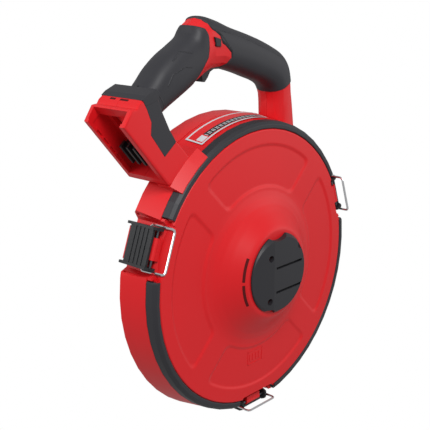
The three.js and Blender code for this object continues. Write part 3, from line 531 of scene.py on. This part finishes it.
BAND = band_group()
label = plastic("label print", (0.6, 0.61, 0.63), 0.35)
tree = label.node_tree
u_at = node(tree, "ShaderNodeAttribute", attribute_name="label_u")
v_at = node(tree, "ShaderNodeAttribute", attribute_name="label_v")


def band(value, centre, half):
    """A band mask over an output socket."""
    made = node(tree, "ShaderNodeGroup", node_tree=BAND)
    tree.links.new(value, made.inputs["value"])
    made.inputs["centre"].default_value = centre
    made.inputs["half"].default_value = half
    return made.outputs["mask"]


def math(operation, *values):
    """A Math node over sockets or numbers."""
    made = node(tree, "ShaderNodeMath", operation=operation)
    for k, value in enumerate(values):
        if isinstance(value, (int, float)):
            made.inputs[k].default_value = value
        else:
            tree.links.new(value, made.inputs[k])
    return made.outputs[0]


def over(under, mask, colour):
    """Paints `colour` over `under` where the mask is 1."""
    made = node(tree, "ShaderNodeMix", data_type="RGBA")
    tree.links.new(mask, made.inputs["Factor"])
    if isinstance(under, tuple):
        made.inputs["A"].default_value = (*under, 1)
    else:
        tree.links.new(under, made.inputs["A"])
    made.inputs["B"].default_value = (*colour, 1)
    return made.outputs["Result"]


u, v = u_at.outputs["Fac"], v_at.outputs["Fac"]
inside = math("MULTIPLY", band(u, 0, 0.96), band(v, 0, 0.82))
paint = over((0.6, 0.61, 0.63), inside, RED)
strip = math("MULTIPLY", band(u, -0.12, 0.84), band(v, -0.38, 0.36))
paint = over(paint, strip, (0.012, 0.012, 0.014))
cells = math("PINGPONG", math("MULTIPLY", u, 9.0), 0.5)
marks = math("MULTIPLY", math("MULTIPLY", strip, band(cells, 0.32, 0.1)), band(v, -0.38, 0.2))
paint = over(paint, marks, (0.5, 0.51, 0.53))
code = math("MULTIPLY", band(u, 0.84, 0.09), band(v, -0.38, 0.36))
paint = over(paint, code, (0.62, 0.63, 0.65))
tree.links.new(paint, tree.nodes["Principled BSDF"].inputs["Base Color"])
plate.data.materials[0] = label

# %% [markdown]
# ## Light and camera
# A white studio: a soft key from the upper left, a fill from the right and a white world.

# %%
def softbox(name, place, aim, size, power):
    """A square area light at `place` that looks at `aim`."""
    data = bpy.data.lights.new(name, "AREA")
    data.size = size
    data.energy = power
    made = bpy.data.objects.new(name, data)
    made.location = place
    made.rotation_euler = (Vector(aim) - Vector(place)).to_track_quat("-Z", "Y").to_euler()
    bpy.context.collection.objects.link(made)
    return made


CENTRE = (0, -0.08, 0.05)
softbox("key", (-0.9, -1.3, 1.5), CENTRE, 0.7, 30)
softbox("fill", (1.6, -1.4, 0.5), CENTRE, 1.4, 8)
softbox("rim", (-1.6, 0.9, 0.9), CENTRE, 1.0, 12)

world = bpy.data.worlds.new("white studio")
world.use_nodes = True
bpy.context.scene.world = world
sky = world.node_tree
glow = sky.nodes["Background"]
glow.inputs["Color"].default_value = (1, 1, 1, 1)
glow.inputs["Strength"].default_value = 0.42
seen = node(sky, "ShaderNodeBackground")
seen.inputs["Color"].default_value = (1, 1, 1, 1)
seen.inputs["Strength"].default_value = 1.0
ray = node(sky, "ShaderNodeLightPath")
either = node(sky, "ShaderNodeMixShader")
sky.links.new(ray.outputs["Is Camera Ray"], either.inputs["Fac"])
sky.links.new(glow.outputs["Background"], either.inputs[1])
sky.links.new(seen.outputs["Background"], either.inputs[2])
sky.links.new(either.outputs["Shader"], sky.nodes["World Output"].inputs["Surface"])

azimuth, elevation = np.radians(-47.95), np.radians(15.48)
back = Vector((np.sin(azimuth) * np.cos(elevation), -np.cos(azimuth) * np.cos(elevation),
               np.sin(elevation)))
right = Vector((np.cos(azimuth), np.sin(azimuth), 0))
up = back.cross(right)
distance, across, above = np.array([6.463, 0.3205, -0.3787]) * COVER_RADIUS * MM
lens = bpy.data.cameras.new("camera")
lens.lens = 75.35
lens.sensor_width = 36
camera = bpy.data.objects.new("camera", lens)
camera.location = back * distance - right * across - up * above + Vector((0, -DEPTH, 0))
camera.rotation_euler = Matrix((right, up, back)).transposed().to_euler()
bpy.context.collection.objects.link(camera)
bpy.context.scene.camera = camera
bpy.context.scene.view_settings.view_transform = "Standard"
bpy.context.scene.view_settings.look = "None"
